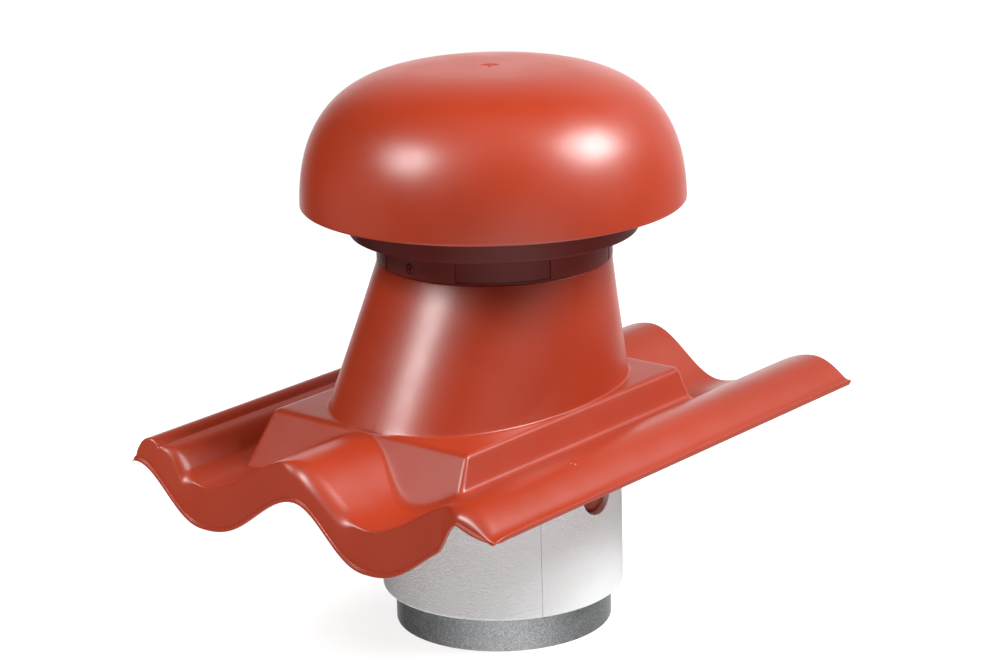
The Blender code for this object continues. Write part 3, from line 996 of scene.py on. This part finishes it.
def steel_material():
    """Galvanised sheet: a fine spangle and dull, cloudy gloss."""
    made, nodes, links, shader = new_material("galvanised_look")
    place = object_place(nodes, links)
    spangle = nodes.new("ShaderNodeTexVoronoi")
    spangle.inputs["Scale"].default_value = 1300.0
    links.new(place, spangle.inputs["Vector"])
    clouds = noise_value(nodes, links, place, 300.0, 5.0, 0.65)
    mixed = nodes.new("ShaderNodeMath")
    mixed.operation = "MULTIPLY"
    links.new(spangle.outputs["Color"], mixed.inputs[0])
    links.new(clouds, mixed.inputs[1])
    links.new(blended(nodes, links, ranged(nodes, links, mixed.outputs["Value"], 0.0, 1.0, 0.1, 0.5),
                      (0.23, 0.235, 0.24), (0.42, 0.425, 0.43)), shader.inputs["Base Color"])
    shader.inputs["Metallic"].default_value = 1.0
    links.new(ranged(nodes, links, clouds, 0.45, 0.62, 0.3, 0.7), shader.inputs["Roughness"])
    bumped(nodes, links, shader, mixed.outputs["Value"], 0.15, 0.0002)
    return made


def dress(piece, look, slot, *nodes):
    """Give a piece its material and its body, and hide the CAD nodes it stands for. The slot is not
    used.
    """
    piece.data.materials.clear()
    piece.data.materials.append(look)
    if nodes:
        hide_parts(*nodes)
    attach(piece, "root")


# The stage

def make_camera():
    """The camera that took the photograph, worked out from its round edges."""
    azimuth, elevation, roll = (math.radians(value) for value in (39.69, 16.42, -1.51))
    back = Vector((math.sin(azimuth) * math.cos(elevation),
                   -math.cos(azimuth) * math.cos(elevation), math.sin(elevation)))
    level = Vector((math.cos(azimuth), math.sin(azimuth), 0.0))
    raised = back.cross(level)
    right = math.cos(roll) * level + math.sin(roll) * raised
    up = -math.sin(roll) * level + math.cos(roll) * raised
    data = bpy.data.cameras.new("camera")
    data.sensor_fit = "HORIZONTAL"
    data.sensor_width = 36.0
    data.lens = 105.36
    data.clip_end = 30.0
    camera = bpy.data.objects.new("camera", data)
    camera.matrix_world = Matrix((right, up, back)).transposed().to_4x4()
    camera.location = (axis_x + 1.30587, axis_y - 1.56978, 0.81839)
    bpy.context.scene.collection.objects.link(camera)
    bpy.context.scene.camera = camera


def area_light(name, azimuth, elevation, distance, width, height, power):
    """A soft box that faces the object from an azimuth and elevation in degrees."""
    turned, raised = math.radians(azimuth), math.radians(elevation)
    out = Vector((math.cos(turned) * math.cos(raised), math.sin(turned) * math.cos(raised),
                  math.sin(raised)))
    data = bpy.data.lights.new(name, "AREA")
    data.shape = "RECTANGLE"
    data.size, data.size_y = width, height
    data.energy = power
    light = bpy.data.objects.new(name, data)
    light.location = Vector((axis_x, axis_y, 0.28)) + out * distance
    light.rotation_mode = "QUATERNION"
    light.rotation_quaternion = (-out).to_track_quat("-Z", "Y")
    light.visible_camera = False
    bpy.context.scene.collection.objects.link(light)


def make_lights():
    area_light("left_softbox", -109.0, 39.0, 1.7, 0.52, 0.52, 23.0)
    area_light("right_softbox", 26.0, 40.5, 1.7, 0.68, 0.64, 44.0)


# The studio's soft panels: azimuth, elevation and half width in degrees, and strength
panels = (
    (-50.0, -60.0, 55.0, 1.95), (70.0, -60.0, 55.0, 0.60), (-30.0, -15.0, 38.0, 0.72),
    (85.0, -15.0, 38.0, 0.25), (130.0, -15.0, 38.0, 1.40), (-140.0, -15.0, 38.0, 0.35),
    (22.0, 18.0, 34.0, 0.42), (94.0, 18.0, 34.0, 0.50), (130.0, 18.0, 34.0, 0.42),
    (-5.0, 45.0, 34.0, 0.20), (40.0, 45.0, 34.0, 0.66), (-95.0, 45.0, 34.0, 0.70),
    (-50.0, 80.0, 36.0, 0.48),
)


def make_world():
    """A studio of soft panels round the object, with a white backdrop for the camera."""
    world = bpy.data.worlds.new("studio")
    bpy.context.scene.world = world
    world.use_nodes = True
    nodes, links = world.node_tree.nodes, world.node_tree.links
    nodes.clear()
    place = nodes.new("ShaderNodeTexCoord")
    total = None
    for azimuth, elevation, width, strength in panels:
        turned, raised = math.radians(azimuth), math.radians(elevation)
        towards = nodes.new("ShaderNodeVectorMath")
        towards.operation = "DOT_PRODUCT"
        towards.inputs[1].default_value = (math.cos(turned) * math.cos(raised),
                                           math.sin(turned) * math.cos(raised),
                                           math.sin(raised))
        links.new(place.outputs["Generated"], towards.inputs[0])
        panel = ranged(nodes, links, towards.outputs["Value"], 0.0, strength,
                       math.cos(math.radians(width)), math.cos(math.radians(width / 4)))
        panel.node.interpolation_type = "SMOOTHSTEP"
        if total is not None:
            joined = nodes.new("ShaderNodeMath")
            joined.operation = "ADD"
            links.new(total, joined.inputs[0])
            links.new(panel, joined.inputs[1])
            panel = joined.outputs["Value"]
        total = panel
    studio = nodes.new("ShaderNodeBackground")
    studio.inputs["Color"].default_value = (1.0, 1.0, 1.0, 1.0)
    links.new(total, studio.inputs["Strength"])
    backdrop = nodes.new("ShaderNodeBackground")
    backdrop.inputs["Color"].default_value = (1.0, 1.0, 1.0, 1.0)
    backdrop.inputs["Strength"].default_value = 1.02
    path = nodes.new("ShaderNodeLightPath")
    chosen = nodes.new("ShaderNodeMixShader")
    out = nodes.new("ShaderNodeOutputWorld")
    links.new(path.outputs["Is Camera Ray"], chosen.inputs["Fac"])
    links.new(studio.outputs["Background"], chosen.inputs[1])
    links.new(backdrop.outputs["Background"], chosen.inputs[2])
    links.new(chosen.outputs["Shader"], out.inputs["Surface"])


def make_floor():
    """A plain pale floor under the duct's lower end, lit from below like a light table. Only
    the camera sees it, so that the panels under it light the object."""
    shape = bmesh.new()
    bmesh.ops.create_circle(shape, cap_ends=True, segments=96, radius=1.5)
    floor = object_from("floor", shape)
    made, nodes, links, shader = new_material("pale_floor")
    place = object_place(nodes, links)
    tone = noise_value(nodes, links, place, 3.0, 2.0)
    links.new(blended(nodes, links, tone, (0.38, 0.38, 0.38), (0.41, 0.41, 0.41)),
              shader.inputs["Base Color"])
    shader.inputs["Roughness"].default_value = 0.8
    shader.inputs["Specular IOR Level"].default_value = 0.0
    shader.inputs["Emission Color"].default_value = (1.0, 1.0, 1.0, 1.0)
    shader.inputs["Emission Strength"].default_value = 0.80
    floor.data.materials.append(made)
    floor.visible_diffuse = False
    floor.visible_glossy = False
    floor.visible_transmission = False
    floor.visible_shadow = False


def make_object():
    red = plastic_material("terracotta_look", (0.322, 0.0285, 0.0070), (0.338, 0.032, 0.0090),
                           0.33, 0.39, 0.05, 1.57)
    # The collar is the same terracotta plastic as the dome and tile. Its darker base colour is
    # painted shade from the cap above it; only its rougher, duller gloss is its own.
    shaded_terracotta = plastic_material("collar_painted_shade_look", (0.142, 0.011, 0.007), (0.152, 0.014, 0.009),
                             0.42, 0.50, 0.08, 1.40)
    foam = foam_material()
    dress(make_tile_base(), red, "terracotta_plastic", "tile_base")
    dome, posts = make_cap()
    dress(dome, red, "terracotta_plastic", "cap")
    for post in posts:
        dress(post, red, "terracotta_plastic")
    dress(make_collar(), shaded_terracotta, "collar_plastic", "collar")
    for side, turned in enumerate((0.0, math.pi)):
        rivet = make_rivet(f"rivet_{side + 1}", rivet_angle + turned)
        dress(rivet, shaded_terracotta, "collar_plastic", f"collar_rivet_{side + 1}")
    dress(make_half_sleeve("foam_right", sleeve_seam_angle, True), foam, "white_foam",
          "sleeve_right")
    dress(make_half_sleeve("foam_left", sleeve_seam_angle + math.pi, False), foam, "white_foam",
          "sleeve_left")
    dress(make_plug(), red, "terracotta_plastic", "sleeve_plug")
    dress(make_duct(), steel_material(), "galvanised_steel", "duct")


make_camera()
make_lights()
make_world()
make_floor()
make_object()
bpy.context.scene.view_settings.view_transform = "Standard"
